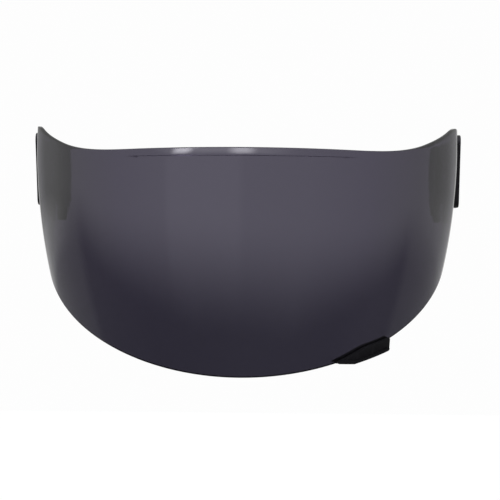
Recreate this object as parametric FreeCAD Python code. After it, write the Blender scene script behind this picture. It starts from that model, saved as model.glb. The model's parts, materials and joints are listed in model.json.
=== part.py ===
import FreeCAD, Part
import math
import os

# Motorcycle helmet visor: a smoked shield with a lift tab, swung on two ratchet pivots.
# Frame: the pivot axis is X through the origin, the shield's front faces -Y, +Z is up.
# The wearer's left ear stands at +X. The right ear's pieces are its mirror image.
# Lengths are millimetres, angles are degrees.

overrun = 6.0
running_clearance = 0.08
seat_clearance = 0.05
slide_clearance = 0.1

# Shield surface: one vertical arc swept along a plan of two arcs and straight ears,
# all leaning back by one angle about the pivot axis.
shield_half_width = 123.0
shield_reach = 150.0
shield_side_radius = 116.45
shield_front_half_angle = 50.0
shield_profile_radius = 350.0
shield_lean = 10.0
shield_equator_height = 13.3
shield_wall = 2.0

# Shield outline in side view: heights from the pivot, and how far forward as shares of the reach
ear_radius = 22.3
temple_reach_share = 0.386667
temple_z = 24.6
temple_round = 60.0
brow_reach_share = 0.78
brow_z = 6.4
brow_round = 115.0
brow_rise = 1.4
chin_reach_share = 0.94
chin_z = -114.9
lower_edge_bulge = 0.6

# Brow rib along the top edge, in front view
rib_height = 0.9
rib_depth = 4.7
rib_half_length = 66.0
rib_fade_length = 20.0
rib_corner_radius = 25.0

# Ear pads and the stack of pivot pieces, from the outside inwards
pad_inset = 1.0
pad_thickness = 3.0
pad_radius = 18.6
seat_thickness = 1.8
recess_margin = 0.4
hub_hole_radius = 13.0

cover_radius = 20.3
cover_top_y = -32.0
cover_top_z = 22.4
cover_top_round = 4.0
cover_bottom_y = -19.0
cover_bottom_z = -20.4
cover_bottom_round = 5.0
cover_thickness = 3.4
cover_skin = 1.3
cover_rim = 1.4
cover_edge_round = 0.7
cover_boss_radius = 2.4

ratchet_radius = 18.0
ratchet_thickness = 2.6
ratchet_bore_radius = 9.5
bayonet_notch_radius = 12.6
bayonet_notch_half_angle = 22.0
removal_angle = 84.0
opening_angle = 60.0
detent_pitch_angle = 10.0
detent_depth = 0.6
lug_height = 1.8
lug_angle = 12.0
stop_margin_angle = 0.5

pivot_screw_circle_radius = 15.6
pivot_screw_angles = (30.0, 150.0, 270.0)
screw_shank_radius = 0.9
screw_head_radius = 1.9
screw_head_depth = 1.1
screw_hole_clearance = 0.25
screw_tip_margin = 0.2
screw_recess_width = 0.5
screw_recess_depth = 0.6
cross_recess_share = 0.55
pivot_screw_length = 7.3

# Base plate, which stays on the helmet
base_gap = 0.4
base_thickness = 4.6
base_radius = 22.0
base_top_z = 15.9
base_front_y = -23.0
base_front_half_height = 13.0
base_front_round = 3.0
base_foot_half_width = 9.0
base_foot_reach = 24.0
boss_wall = 3.4
boss_floor = 1.6
tab_gap = 0.2
tab_thickness = 1.6
tab_reach = 12.2
tab_half_angle = 18.0
tab_angles = (0.0, 180.0)
mount_hole_y = 13.0
mount_hole_z = 7.0
mount_hole_radius = 1.7
mount_sink_radius = 3.1
stop_block_height = 3.0
stop_block_angle = 6.0
stop_rise = 2.6
rim_clearance = 0.5

# Friction washer, which fills the gap between ratchet and base plate
washer_outer_radius = 13.4

# Detent spring: a leaf with a rounded nose, held at both ends
leaf_thickness = 0.5
leaf_width = 2.5
leaf_stand_off = 1.9
leaf_half_span = 10.0
leaf_nose_radius = 1.3
leaf_foot_radius = 1.5
leaf_notch_clearance = 0.1
clip_wall = 1.2
clip_length = 2.2

# Release slider and its coil spring, along the line from the pivot square to the lower edge
slider_thickness = 2.4
slider_inner = 10.5
slider_half_width = 5.0
slider_travel = 3.0
flange_thickness = 1.1
flange_half_width = 6.2
flange_length = 6.0
window_half_width = 2.1
window_wall = 1.4
spring_post_length = 1.2
spring_length = 7.0
spring_wire = 0.35
spring_mean_radius = 1.25
spring_turns = 4.5
spring_seat_gap = 0.05
spring_centre_depth = 1.5
spring_trough_clearance = 0.15
nose_gap = 0.4
nose_length = 2.9
nose_half_width = 3.5
thumb_start = 24.5
thumb_length = 6.5
thumb_half_width = 7.0
thumb_thickness = 5.2
thumb_round = 2.0
thumb_ridge_radius = 0.6
thumb_ridge_pitch = 1.8
thumb_ridge_count = 3

# Lift tab on the lower edge, drawn square to the shield at one place of its front arc:
# the outline's points and the screws are distances towards the ear, and up, from that place
lift_heading = 44.0
lift_drop = 0.64
edge_search_steps = 40
lift_inner_along = -20.2
lift_inner_up = -8.9
lift_knee_along = -8.0
lift_knee_up = -7.3
lift_outer_low_along = 15.6
lift_outer_low_up = 2.7
lift_outer_high_along = 13.4
lift_outer_high_up = 9.5
lift_crest_along = -4.0
lift_crest_up = 2.4
lift_corner_radius = 1.0
lift_crest_radius = 30.0
lift_wall = 1.6
lift_skirt = 1.9
lift_clearance = 0.1
ledge_depth = 1.8
ledge_height = 2.2
ledge_inset = 1.8
lift_screw_alongs = (-3.6, 7.6)
lift_screw_ups = (-1.5, 3.2)
lift_screw_length = 4.6

ORIGIN = FreeCAD.Vector(0, 0, 0)
ALONG_X = FreeCAD.Vector(1, 0, 0)
ALONG_Y = FreeCAD.Vector(0, 1, 0)
ALONG_Z = FreeCAD.Vector(0, 0, 1)

# Corners of the shield's outline in side view
temple_y = -shield_reach * temple_reach_share
brow_y = -shield_reach * brow_reach_share
chin_y = -shield_reach * chin_reach_share

# Depths of the stack at the +X ear
pad_face_x = shield_half_width - pad_inset
pad_back_x = pad_face_x - pad_thickness
ratchet_back_x = pad_back_x - ratchet_thickness
base_face_x = ratchet_back_x - base_gap
base_back_x = base_face_x - base_thickness
cover_face_x = pad_face_x + cover_thickness
tab_back_x = pad_back_x + tab_gap
tab_face_x = tab_back_x + tab_thickness
slider_back_x = base_face_x - slider_thickness


def vector(x, y, z):
    return FreeCAD.Vector(x, y, z)


def side_point(y, z):
    """A point of an outline drawn in side view."""
    return vector(0, y, z)


def front_point(x, z):
    """A point of an outline drawn in front view."""
    return vector(x, 0, z)


def polar(radius, degrees):
    """A side-view point at an angle from +Y towards +Z about the pivot."""
    return side_point(radius * math.cos(math.radians(degrees)), radius * math.sin(math.radians(degrees)))


def turned(shape, degrees):
    """The shape turned about the pivot axis, from +Y towards +Z."""
    copy = shape.copy()
    copy.rotate(ORIGIN, ALONG_X, degrees)
    return copy


def disc(radius, x_low, x_high, centre=ORIGIN):
    return Part.makeCylinder(radius, x_high - x_low, vector(x_low, centre.y, centre.z), ALONG_X)


def cone(radius_low, radius_high, x_low, x_high, centre=ORIGIN):
    start = vector(x_low, centre.y, centre.z)
    return Part.makeCone(radius_low, radius_high, x_high - x_low, start, ALONG_X)


def block(x_low, x_high, y_low, y_high, z_low, z_high):
    corner = vector(x_low, y_low, z_low)
    return Part.makeBox(x_high - x_low, y_high - y_low, z_high - z_low, corner)


def prism(wire, direction, low, high):
    """A solid from a flat outline, between two distances along the direction."""
    face = Part.Face(wire)
    face.translate(direction * low)
    return face.extrude(direction * (high - low))


def pie(radius, angle_low, angle_high, x_low, x_high):
    """A sector of a disc about the pivot axis."""
    start = polar(radius, angle_low)
    middle = polar(radius, (angle_low + angle_high) / 2)
    end = polar(radius, angle_high)
    edges = [
        Part.makeLine(ORIGIN, start),
        Part.Arc(start, middle, end).toShape(),
        Part.makeLine(end, ORIGIN),
    ]
    return prism(Part.Wire(edges), ALONG_X, x_low, x_high)


def rounded_corner(before, corner, after, radius):
    """The two tangent points and the middle point of a corner's arc."""
    to_before = (before - corner).normalize()
    to_after = (after - corner).normalize()
    half_angle = to_before.getAngle(to_after) / 2
    reach = radius / math.tan(half_angle)
    inwards = (to_before + to_after).normalize()
    middle = corner + inwards * (radius / math.sin(half_angle) - radius)
    return corner + to_before * reach, middle, corner + to_after * reach


def corner_edges(points, radii):
    """Lines through the points, with an arc at each inner point that has a radius."""
    edges = []
    at = points[0]
    for number in range(1, len(points) - 1):
        corner = points[number]
        if radii[number - 1] > 0:
            before, after = points[number - 1], points[number + 1]
            start, middle, end = rounded_corner(before, corner, after, radii[number - 1])
            edges.append(Part.makeLine(at, start))
            edges.append(Part.Arc(start, middle, end).toShape())
            at = end
        else:
            edges.append(Part.makeLine(at, corner))
            at = corner
    edges.append(Part.makeLine(at, points[-1]))
    return edges


def tangent_angle(radius, point, turn):
    """The angle at which a line from the point touches a circle about the pivot."""
    distance = math.hypot(point.y, point.z)
    towards = math.degrees(math.atan2(point.z, point.y))
    return towards + turn * math.degrees(math.acos(radius / distance))


def ear_outline(radius, front_points, radii, bulge):
    """A circle about the pivot, joined to the front points by its two tangents."""
    top_angle = tangent_angle(radius, front_points[0], -1)
    bottom_angle = tangent_angle(radius, front_points[-1], 1) % 360 - 360
    top = polar(radius, top_angle)
    bottom = polar(radius, bottom_angle)
    edges = corner_edges([top] + front_points + [bottom], radii)
    if bulge > 0:
        last = edges.pop()
        start = last.valueAt(last.FirstParameter)
        along = (bottom - start).normalize()
        outwards = vector(0, -along.z, along.y)
        if outwards.z > 0:
            outwards = outwards * -1
        middle = (start + bottom) * 0.5 + outwards * bulge
        edges.append(Part.Arc(start, middle, bottom).toShape())
    rear = polar(radius, (top_angle + bottom_angle) / 2)
    edges.append(Part.Arc(bottom, rear, top).toShape())
    return Part.Wire(edges)


def lean(shape):
    """Moves a shape from the upright sweep frame to its leaning place."""
    copy = shape.copy()
    copy.rotate(ORIGIN, ALONG_X, -shield_lean)
    copy.translate(ALONG_Z * shield_equator_height)
    return copy


def sweep_height(y, z):
    """Height of a side-view point above the leaning equator."""
    angle = math.radians(shield_lean)
    return y * math.sin(angle) + (z - shield_equator_height) * math.cos(angle)


def profile_section(grow_out, grow_in):
    """The wall's cross-section at the middle of the front, in the upright sweep frame."""
    outer = shield_profile_radius + grow_out
    inner = shield_profile_radius - shield_wall - grow_in
    centre_y = shield_profile_radius - shield_reach
    low = sweep_height(chin_y, chin_z) - overrun
    high = sweep_height(0, ear_radius) + overrun

    def at(radius, height):
        return side_point(centre_y - math.sqrt(radius * radius - height * height), height)

    middle = (low + high) / 2
    edges = [
        Part.Arc(at(outer, low), at(outer, middle), at(outer, high)).toShape(),
        Part.makeLine(at(outer, high), at(inner, high)),
        Part.Arc(at(inner, high), at(inner, middle), at(inner, low)).toShape(),
        Part.makeLine(at(inner, low), at(outer, low)),
    ]
    return Part.Face(Part.Wire(edges))


def front_radius():
    """Radius of the plan's front arc, for side arcs that end square to the pivot axis."""
    turn = math.radians(shield_front_half_angle)
    left_over = shield_half_width - shield_side_radius * (1 - math.sin(turn))
    return left_over / math.sin(turn)


def front_centre_y():
    return front_radius() - shield_reach


def swept_shell(grow_out=0, grow_in=0):
    """The whole curved wall before its outline is cut, thickened where asked."""
    section = profile_section(grow_out, grow_in)
    front_centre = side_point(front_centre_y(), 0)
    start = section.copy()
    start.rotate(front_centre, ALONG_Z, -shield_front_half_angle)
    front = start.revolve(front_centre, ALONG_Z, 2 * shield_front_half_angle)

    turn = math.radians(shield_front_half_angle)
    offset = front_radius() - shield_side_radius
    side_centre = front_centre + vector(offset * math.sin(turn), -offset * math.cos(turn), 0)
    joint = section.copy()
    joint.rotate(front_centre, ALONG_Z, shield_front_half_angle)
    side = joint.revolve(side_centre, ALONG_Z, 90 - shield_front_half_angle)

    end = joint.copy()
    end.rotate(side_centre, ALONG_Z, 90 - shield_front_half_angle)
    ear = end.extrude(ALONG_Y * (ear_radius + overrun - side_centre.y))

    halves = [front, side, ear, side.mirror(ORIGIN, ALONG_X), ear.mirror(ORIGIN, ALONG_X)]
    return lean(halves[0].multiFuse(halves[1:]))


def ring_radius(height):
    """Radius of the front arc of the outer surface at a height in the sweep frame."""
    inwards = shield_profile_radius - math.sqrt(shield_profile_radius ** 2 - height ** 2)
    return front_radius() - inwards


def surface_place(heading, height):
    """A frame on the front arc of the outer surface, with its X along the outward normal."""
    slope = math.degrees(math.asin(height / shield_profile_radius))
    turn = math.radians(heading)
    x = ring_radius(height) * math.sin(turn)
    y = front_centre_y() - ring_radius(height) * math.cos(turn)
    place = FreeCAD.Placement(vector(0, 0, shield_equator_height), FreeCAD.Rotation(ALONG_X, -shield_lean))
    spin = FreeCAD.Rotation(ALONG_Z, heading - 90).multiply(FreeCAD.Rotation(ALONG_Y, -slope))
    return place.multiply(FreeCAD.Placement(vector(x, y, height), spin))


def on_surface(shape, heading, height):
    copy = shape.copy()
    copy.Placement = surface_place(heading, height).multiply(copy.Placement)
    return copy


def shield_front_points():
    front_y = -(shield_reach + overrun)
    chin = side_point(chin_y, chin_z)
    touch = polar(ear_radius, tangent_angle(ear_radius, chin, 1))
    along = (chin - touch).normalize()
    low = chin + along * ((front_y - chin_y) / along.y)
    return [
        side_point(temple_y, temple_z),
        side_point(brow_y, brow_z),
        side_point(front_y, brow_z + brow_rise),
        low,
        chin,
    ]


def shield_outline():
    radii = [temple_round, brow_round, 0, 0, 0]
    return ear_outline(ear_radius, shield_front_points(), radii, lower_edge_bulge)


def lower_edge_angle():
    """Slope of the shield's lower edge where it meets the ear."""
    chin = side_point(chin_y, chin_z)
    return tangent_angle(ear_radius, chin, 1) - 270


def lift_height():
    """Height of the lift tab's place: just below where its heading meets the lower edge's line."""
    chin = side_point(chin_y, chin_z)
    touch = polar(ear_radius, tangent_angle(ear_radius, chin, 1))
    along = chin - touch
    below = sweep_height(chin_y, chin_z)
    above = 0
    for _ in range(edge_search_steps):
        middle = (below + above) / 2
        out = surface_place(lift_heading, middle).Base - touch
        if along.y * out.z < along.z * out.y:
            above = middle
        else:
            below = middle
    return above - lift_drop


def lift_screw_places():
    """Heading and height on the shield of each lift tab screw."""
    height = lift_height()
    radius = ring_radius(height)
    places = []
    for along, up in zip(lift_screw_alongs, lift_screw_ups):
        places.append((lift_heading + math.degrees(along / radius), height + up))
    return places


def shield_prism():
    reach = shield_half_width + overrun
    return prism(shield_outline(), ALONG_X, -reach, reach)


def lift_prism(wire):
    """A solid from an outline drawn square to the shield at the lift tab."""
    depth = shield_wall + lift_wall + ledge_depth + overrun
    return on_surface(prism(wire, ALONG_X, -depth, depth), lift_heading, lift_height())


def front_prism(wire):
    """A solid from a front-view outline, through the front of the shield only."""
    return prism(wire, ALONG_Y, -(shield_reach + overrun), temple_y)


def lift_outline():
    points = [
        side_point(lift_inner_along, lift_inner_up),
        side_point(lift_knee_along, lift_knee_up),
        side_point(lift_outer_low_along, lift_outer_low_up),
        side_point(lift_outer_high_along, lift_outer_high_up),
        side_point(lift_crest_along, lift_crest_up),
    ]
    radii = [lift_corner_radius, lift_corner_radius, lift_corner_radius, lift_crest_radius]
    return Part.Wire(corner_edges(points + points[:1], radii))


def grown(wire, distance):
    """The outline moved outwards, or inwards if the distance is negative."""
    return Part.Face(wire).makeOffset2D(distance).OuterWire


def tongue_outline():
    """The part of the shield that stands inside the lift tab."""
    return grown(lift_outline(), -lift_skirt)


def rib_outline():
    low = brow_z + brow_rise - rib_depth
    high = temple_z
    fade = rib_half_length + rib_fade_length
    points = [
        front_point(-fade, high),
        front_point(-fade, brow_z),
        front_point(-rib_half_length, low),
        front_point(rib_half_length, low),
        front_point(fade, brow_z),
        front_point(fade, high),
        front_point(-fade, high),
    ]
    return Part.Wire(corner_edges(points, [0, rib_corner_radius, rib_corner_radius, 0, 0]))


def cover_outline():
    top = side_point(cover_top_y, cover_top_z)
    bottom = side_point(cover_bottom_y, cover_bottom_z)
    return ear_outline(cover_radius, [top, bottom], [cover_top_round, cover_bottom_round], 0)


def screw_centres():
    return [polar(pivot_screw_circle_radius, angle) for angle in pivot_screw_angles]


def screw_solid(length):
    """A countersunk screw along +X with its head's flat face at the origin."""
    head = cone(screw_head_radius, screw_shank_radius, 0, screw_head_depth)
    shank = disc(screw_shank_radius, screw_head_depth, length)
    half = screw_recess_width / 2
    arm = screw_head_radius * cross_recess_share
    across = block(-overrun, screw_recess_depth, -arm, arm, -half, half)
    upright = block(-overrun, screw_recess_depth, -half, half, -arm, arm)
    return head.fuse(shank).cut(across).cut(upright)


def screw_cut(length, hole_clearance):
    """The countersunk hole that a screw passes through, open on the head's side."""
    head_radius = screw_head_radius + seat_clearance
    slope = (screw_head_radius - screw_shank_radius) / screw_head_depth
    mouth_radius = head_radius + slope * overrun
    throat_radius = head_radius - slope * screw_head_depth
    mouth = cone(mouth_radius, throat_radius, -overrun, screw_head_depth)
    return mouth.fuse(disc(screw_shank_radius + hole_clearance, 0, length))


def placed_at(shape, x, centre):
    copy = shape.copy()
    copy.translate(vector(x, centre.y, centre.z))
    return copy


def ear_pad():
    """The flat seat at the +X ear: a plate under the cover and a thicker ring behind it."""
    outline = cover_outline()
    pad = prism(outline, ALONG_X, pad_face_x - seat_thickness, pad_face_x)
    pad = pad.fuse(disc(pad_radius, pad_back_x, pad_face_x))
    recess = prism(grown(outline, recess_margin), ALONG_X, pad_face_x, shield_half_width + overrun)
    hub_hole = disc(hub_hole_radius, pad_back_x - overrun, pad_face_x + overrun)
    holes = [hub_hole]
    for centre in screw_centres():
        radius = screw_shank_radius + screw_hole_clearance
        holes.append(disc(radius, pad_back_x - overrun, pad_face_x + overrun, centre))
    return pad, recess, holes


def build_shield():
    cutter = shield_prism().fuse(lift_prism(tongue_outline()))
    lens = swept_shell().common(cutter)
    rib = swept_shell(rib_height, 0).common(shield_prism()).common(front_prism(rib_outline()))
    pad, recess, holes = ear_pad()
    pads = [pad, pad.mirror(ORIGIN, ALONG_X)]
    recesses = [recess, recess.mirror(ORIGIN, ALONG_X)]
    holes = holes + [hole.mirror(ORIGIN, ALONG_X) for hole in holes]
    for heading, height in lift_screw_places():
        hole = disc(screw_shank_radius + screw_hole_clearance, -overrun, overrun)
        holes.append(on_surface(hole, heading, height))
    body = lens.fuse(rib)
    for piece in recesses:
        body = body.cut(piece)
    for piece in pads:
        body = body.fuse(piece)
    for piece in holes:
        body = body.cut(piece)
    return body


def build_lift_tab():
    """A sleeve over the shield's tongue, with a finger ledge along its lower edge."""
    outline = lift_outline()
    body = swept_shell(lift_wall, lift_wall).common(lift_prism(outline))
    ledge_band = lift_prism(outline).common(lift_prism(shifted(outline, ALONG_Y * -ledge_inset)))
    ledge_band = ledge_band.cut(lift_prism(shifted(outline, ALONG_Z * ledge_height)))
    ledge = swept_shell(lift_wall + ledge_depth, 0).common(ledge_band)
    slot_shell = swept_shell(lift_clearance, lift_clearance)
    reach = shield_half_width + overrun
    above_edge = prism(grown(shield_outline(), lift_clearance), ALONG_X, -reach, reach)
    slot_form = above_edge.fuse(lift_prism(grown(tongue_outline(), lift_clearance)))
    tab = body.fuse(ledge).cut(slot_shell.common(slot_form))
    for heading, height in lift_screw_places():
        tab = tab.cut(on_surface(lift_screw_hole(), heading, height))
    return tab


def shifted(wire, by):
    copy = wire.copy()
    copy.translate(by)
    return copy


def lift_screw_start():
    """Distance of the screw head's face from the outer surface, on the inside."""
    return -(shield_wall + lift_wall)


def lift_screw_hole():
    hole = screw_cut(lift_screw_length + screw_tip_margin, seat_clearance)
    return placed_at(hole, lift_screw_start(), ORIGIN)


def build_lift_screws():
    screws = []
    for heading, height in lift_screw_places():
        screw = placed_at(screw_solid(lift_screw_length), lift_screw_start(), ORIGIN)
        screws.append(on_surface(screw, heading, height))
    return Part.makeCompound(screws)


def build_cover():
    """The black cap outside the ear, hollow but for its three screw bosses."""
    outline = cover_outline()
    body = prism(outline, ALONG_X, pad_face_x, cover_face_x)
    face_edges = [edge for edge in body.Edges if edge.BoundBox.XMin > cover_face_x - cover_edge_round]
    body = body.makeFillet(cover_edge_round, face_edges)
    hollow_top = cover_face_x - cover_skin
    hollow = prism(grown(outline, -cover_rim), ALONG_X, pad_face_x - overrun, hollow_top)
    for centre in screw_centres():
        hollow = hollow.cut(disc(cover_boss_radius, pad_face_x - overrun, hollow_top, centre))
    body = body.cut(hollow)
    tip_x = ratchet_back_x + seat_clearance + pivot_screw_length + screw_tip_margin
    for centre in screw_centres():
        body = body.cut(disc(screw_shank_radius + seat_clearance, pad_face_x - overrun, tip_x, centre))
    return body


def build_pivot_screws():
    screw = screw_solid(pivot_screw_length)
    start = ratchet_back_x + seat_clearance
    return Part.makeCompound([placed_at(screw, start, centre) for centre in screw_centres()])


def lug_start_angle():
    """Where the lug's leading side lies when the shield is shut."""
    nose_edge = math.degrees(math.asin(nose_half_width / (ratchet_radius + nose_gap)))
    return release_angle() + nose_edge + stop_margin_angle + opening_angle


def release_angle():
    """Direction of the release slider about the pivot, square to the lower edge."""
    return lower_edge_angle() - 90


def nose_centre_y():
    """Place of the detent nose's arc centre, on the front side of the ratchet."""
    tip = ratchet_radius - detent_depth
    return -(tip + leaf_thickness / 2 + leaf_nose_radius)


def build_ratchet():
    """The toothed disc behind each ear pad, which turns on the base plate's boss."""
    start = lug_start_angle()
    body = disc(ratchet_radius, ratchet_back_x, pad_back_x)
    lug = pie(ratchet_radius + lug_height, start, start + lug_angle, ratchet_back_x, pad_back_x)
    body = body.fuse(lug)
    body = body.cut(disc(ratchet_bore_radius, ratchet_back_x - overrun, pad_back_x + overrun))
    for middle in (removal_angle, removal_angle + 180):
        low = middle - bayonet_notch_half_angle
        high = middle + bayonet_notch_half_angle
        body = body.cut(pie(bayonet_notch_radius, low, high, ratchet_back_x - overrun, pad_back_x + overrun))
    notch_radius = leaf_nose_radius + leaf_thickness / 2 + leaf_notch_clearance
    notch_centre = side_point(nose_centre_y(), 0)
    notch = disc(notch_radius, ratchet_back_x - overrun, pad_back_x + overrun, notch_centre)
    for number in range(int(opening_angle / detent_pitch_angle) + 1):
        body = body.cut(turned(notch, number * detent_pitch_angle))
    for centre in screw_centres():
        hole = screw_cut(pivot_screw_length, screw_hole_clearance)
        body = body.cut(placed_at(hole, ratchet_back_x + seat_clearance, centre))
    return body


def leaf_path():
    """The detent spring's middle line, from its upper to its lower end."""
    back_y = -(ratchet_radius + leaf_stand_off)
    nose_y = nose_centre_y()
    tip_y = nose_y + leaf_nose_radius
    radii = leaf_nose_radius + leaf_foot_radius
    lean_in = math.acos(1 - (tip_y - back_y) / radii)
    foot_z = radii * math.sin(lean_in)

    def on_foot(angle, sign):
        y = back_y + leaf_foot_radius - leaf_foot_radius * math.cos(angle)
        return side_point(y, sign * (foot_z - leaf_foot_radius * math.sin(angle)))

    return [
        Part.makeLine(side_point(back_y, leaf_half_span), on_foot(0, 1)),
        Part.Arc(on_foot(0, 1), on_foot(lean_in / 2, 1), on_foot(lean_in, 1)).toShape(),
        Part.Arc(on_foot(lean_in, 1), side_point(tip_y, 0), on_foot(lean_in, -1)).toShape(),
        Part.Arc(on_foot(lean_in, -1), on_foot(lean_in / 2, -1), on_foot(0, -1)).toShape(),
        Part.makeLine(on_foot(0, -1), side_point(back_y, -leaf_half_span)),
    ]


def build_detent_spring():
    back_y = -(ratchet_radius + leaf_stand_off)
    half = leaf_thickness / 2
    low_x = base_face_x + seat_clearance
    high_x = low_x + leaf_width
    corners = [
        vector(low_x, back_y - half, leaf_half_span),
        vector(high_x, back_y - half, leaf_half_span),
        vector(high_x, back_y + half, leaf_half_span),
        vector(low_x, back_y + half, leaf_half_span),
    ]
    section = Part.makePolygon(corners + corners[:1])
    path = Part.Wire(leaf_path())
    path.translate(ALONG_X * low_x)
    return path.makePipeShell([section], True, False)


def leaf_clip():
    """The slotted post that holds the leaf's upper end."""
    back_y = -(ratchet_radius + leaf_stand_off)
    slot_half = leaf_thickness / 2 + seat_clearance
    wall = slot_half + clip_wall
    end_z = leaf_half_span + seat_clearance
    low_z = leaf_half_span - clip_length
    top_x = base_face_x + stop_rise
    post = block(base_face_x, top_x, back_y - wall, back_y + wall, low_z, end_z + clip_wall)
    slot = block(base_face_x, top_x + overrun, back_y - slot_half, back_y + slot_half, low_z - overrun, end_z)
    return post.cut(slot)


def to_release(shape):
    """Turns a shape that runs down from the pivot to the release slider's direction."""
    return turned(shape, release_angle() + 90)


def slider_channel():
    """The undercut slot that the slider runs in, open at the plate's edge."""
    gap = slide_clearance
    low_x = slider_back_x - gap
    half = slider_half_width + gap
    far = -(base_foot_reach + overrun)
    channel = block(low_x, base_face_x + overrun, -half, half, far, -(slider_inner - gap))
    flange_low = -(slider_inner + flange_length + slider_travel + gap)
    flange_half = flange_half_width + gap
    flange_top_x = slider_back_x + flange_thickness + gap
    undercut = block(low_x, flange_top_x, -flange_half, flange_half, flange_low, -(slider_inner - gap))
    return channel.fuse(undercut)


def spring_start():
    """Distance from the pivot at which the release spring begins."""
    return slider_inner + window_wall + spring_seat_gap


def spring_post_start():
    return spring_start() + spring_length + spring_seat_gap


def spring_axis_x():
    return base_face_x - spring_centre_depth


def build_base_plate():
    """The plate on the helmet's shell, with the bayonet boss and everything that it guides."""
    body = disc(base_radius, base_back_x, base_face_x)
    half = base_front_half_height
    front_points = [
        side_point(0, half),
        side_point(base_front_y, half),
        side_point(base_front_y, -half),
        side_point(0, -half),
    ]
    edges = corner_edges(front_points, [base_front_round, base_front_round])
    edges.append(Part.makeLine(front_points[-1], front_points[0]))
    body = body.fuse(prism(Part.Wire(edges), ALONG_X, base_back_x, base_face_x))
    foot = block(base_back_x, base_face_x, -base_foot_half_width, base_foot_half_width, -base_foot_reach, 0)
    body = body.fuse(to_release(foot))
    body = body.cut(block(base_back_x, base_face_x, -base_radius, base_radius, base_top_z, base_radius))

    boss_radius = ratchet_bore_radius - running_clearance
    body = body.fuse(disc(boss_radius, base_face_x, tab_face_x))
    for middle in tab_angles:
        low = middle - tab_half_angle
        body = body.fuse(pie(tab_reach, low, middle + tab_half_angle, tab_back_x, tab_face_x))
    body = body.cut(disc(boss_radius - boss_wall, base_back_x + boss_floor, tab_face_x + overrun))

    body = body.cut(to_release(slider_channel()))
    trough_radius = spring_mean_radius + spring_wire / 2 + spring_trough_clearance
    trough = Part.makeCylinder(
        trough_radius,
        spring_length + spring_seat_gap * 2,
        vector(spring_axis_x(), 0, -(spring_start() - spring_seat_gap)),
        ALONG_Z * -1,
    )
    body = body.cut(to_release(trough))
    post_low = -(spring_post_start() + spring_post_length)
    post_half = window_half_width - slide_clearance
    post_floor = slider_back_x - slide_clearance
    post_face = base_face_x - slide_clearance
    post = block(post_floor, post_face, -post_half, post_half, post_low, -spring_post_start())
    body = body.fuse(to_release(post))

    body = body.fuse(leaf_clip())
    body = body.fuse(leaf_clip().mirror(ORIGIN, ALONG_Z))
    body = body.fuse(closing_stop())
    for sign in (-1, 1):
        centre = side_point(sign * mount_hole_y, mount_hole_z)
        body = body.cut(disc(mount_hole_radius, base_back_x - overrun, base_face_x + overrun, centre))
        sink = mount_sink_radius - mount_hole_radius
        body = body.cut(cone(mount_hole_radius, mount_sink_radius, base_face_x - sink, base_face_x, centre))
    return body


def build_washer():
    """The thin ring that the ratchet rubs on, held on the boss of the base plate."""
    low_x = base_face_x + seat_clearance
    high_x = ratchet_back_x - seat_clearance
    ring = disc(washer_outer_radius, low_x, high_x)
    return ring.cut(disc(ratchet_bore_radius, low_x - overrun, high_x + overrun))


def closing_stop():
    """The block that the ratchet's lug meets when the shield is shut."""
    low = lug_start_angle() + lug_angle + stop_margin_angle
    high = low + stop_block_angle
    inner = ratchet_radius + rim_clearance
    top_x = base_face_x + stop_rise
    outer_pie = pie(inner + stop_block_height, low, high, base_face_x, top_x)
    return outer_pie.cut(disc(inner, base_face_x - overrun, top_x + overrun))


def build_slider():
    """The quick-release slider: its nose stops the lug, its thumb end is drawn outwards."""
    half = slider_half_width
    body = block(slider_back_x, base_face_x, -half, half, -thumb_start, -slider_inner)
    flange_low = -(slider_inner + flange_length)
    flange_top_x = slider_back_x + flange_thickness
    half = flange_half_width
    flange = block(slider_back_x, flange_top_x, -half, half, flange_low, -slider_inner)
    body = body.fuse(flange)
    window_start = slider_inner + window_wall
    window_end = spring_post_start() + spring_post_length + slide_clearance
    window = block(
        slider_back_x - overrun,
        base_face_x + overrun,
        -window_half_width,
        window_half_width,
        -window_end,
        -window_start,
    )
    body = body.cut(window)
    nose_start = ratchet_radius + nose_gap
    nose_end = nose_start + nose_length
    half = nose_half_width
    nose = block(base_face_x, base_face_x + stop_rise, -half, half, -nose_end, -nose_start)
    body = body.fuse(nose)
    return to_release(body.fuse(thumb_end()))


def thumb_end():
    half = thumb_half_width
    low = -(thumb_start + thumb_length)
    high = -thumb_start
    points = [
        side_point(-half, high),
        side_point(-half, low),
        side_point(half, low),
        side_point(half, high),
    ]
    edges = corner_edges(points, [thumb_round, thumb_round])
    edges.append(Part.makeLine(points[-1], points[0]))
    top_x = slider_back_x + thumb_thickness
    body = prism(Part.Wire(edges), ALONG_X, slider_back_x, top_x)
    middle = (low + high) / 2
    for number in range(thumb_ridge_count):
        z = middle + (number - (thumb_ridge_count - 1) / 2) * thumb_ridge_pitch
        ridge_half = half - thumb_round
        start = vector(top_x, -ridge_half, z)
        body = body.fuse(Part.makeCylinder(thumb_ridge_radius, 2 * ridge_half, start, ALONG_Y))
    return body


def helix_point(turn):
    """A point and a unit tangent of the release spring's middle line, running down from the pivot."""
    angle = 2 * math.pi * turn
    rise = (spring_length - spring_wire) / spring_turns
    start = spring_start() + spring_wire / 2
    radius = spring_mean_radius
    x = spring_axis_x() + radius * math.cos(angle)
    point = vector(x, radius * math.sin(angle), -(start + rise * turn))
    around = 2 * math.pi * radius
    tangent = vector(-around * math.sin(angle), around * math.cos(angle), -rise).normalize()
    return point, tangent


def tangent_arc(start, pull, end):
    """The arc between two points whose tangents meet at an equally distant third point."""
    middle = (start + end) * 0.5
    half_turn = (pull - start).getAngle(end - start)
    share = math.cos(half_turn) / (1 + math.cos(half_turn))
    return Part.Arc(start, middle + (pull - middle) * share, end).toShape()


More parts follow.
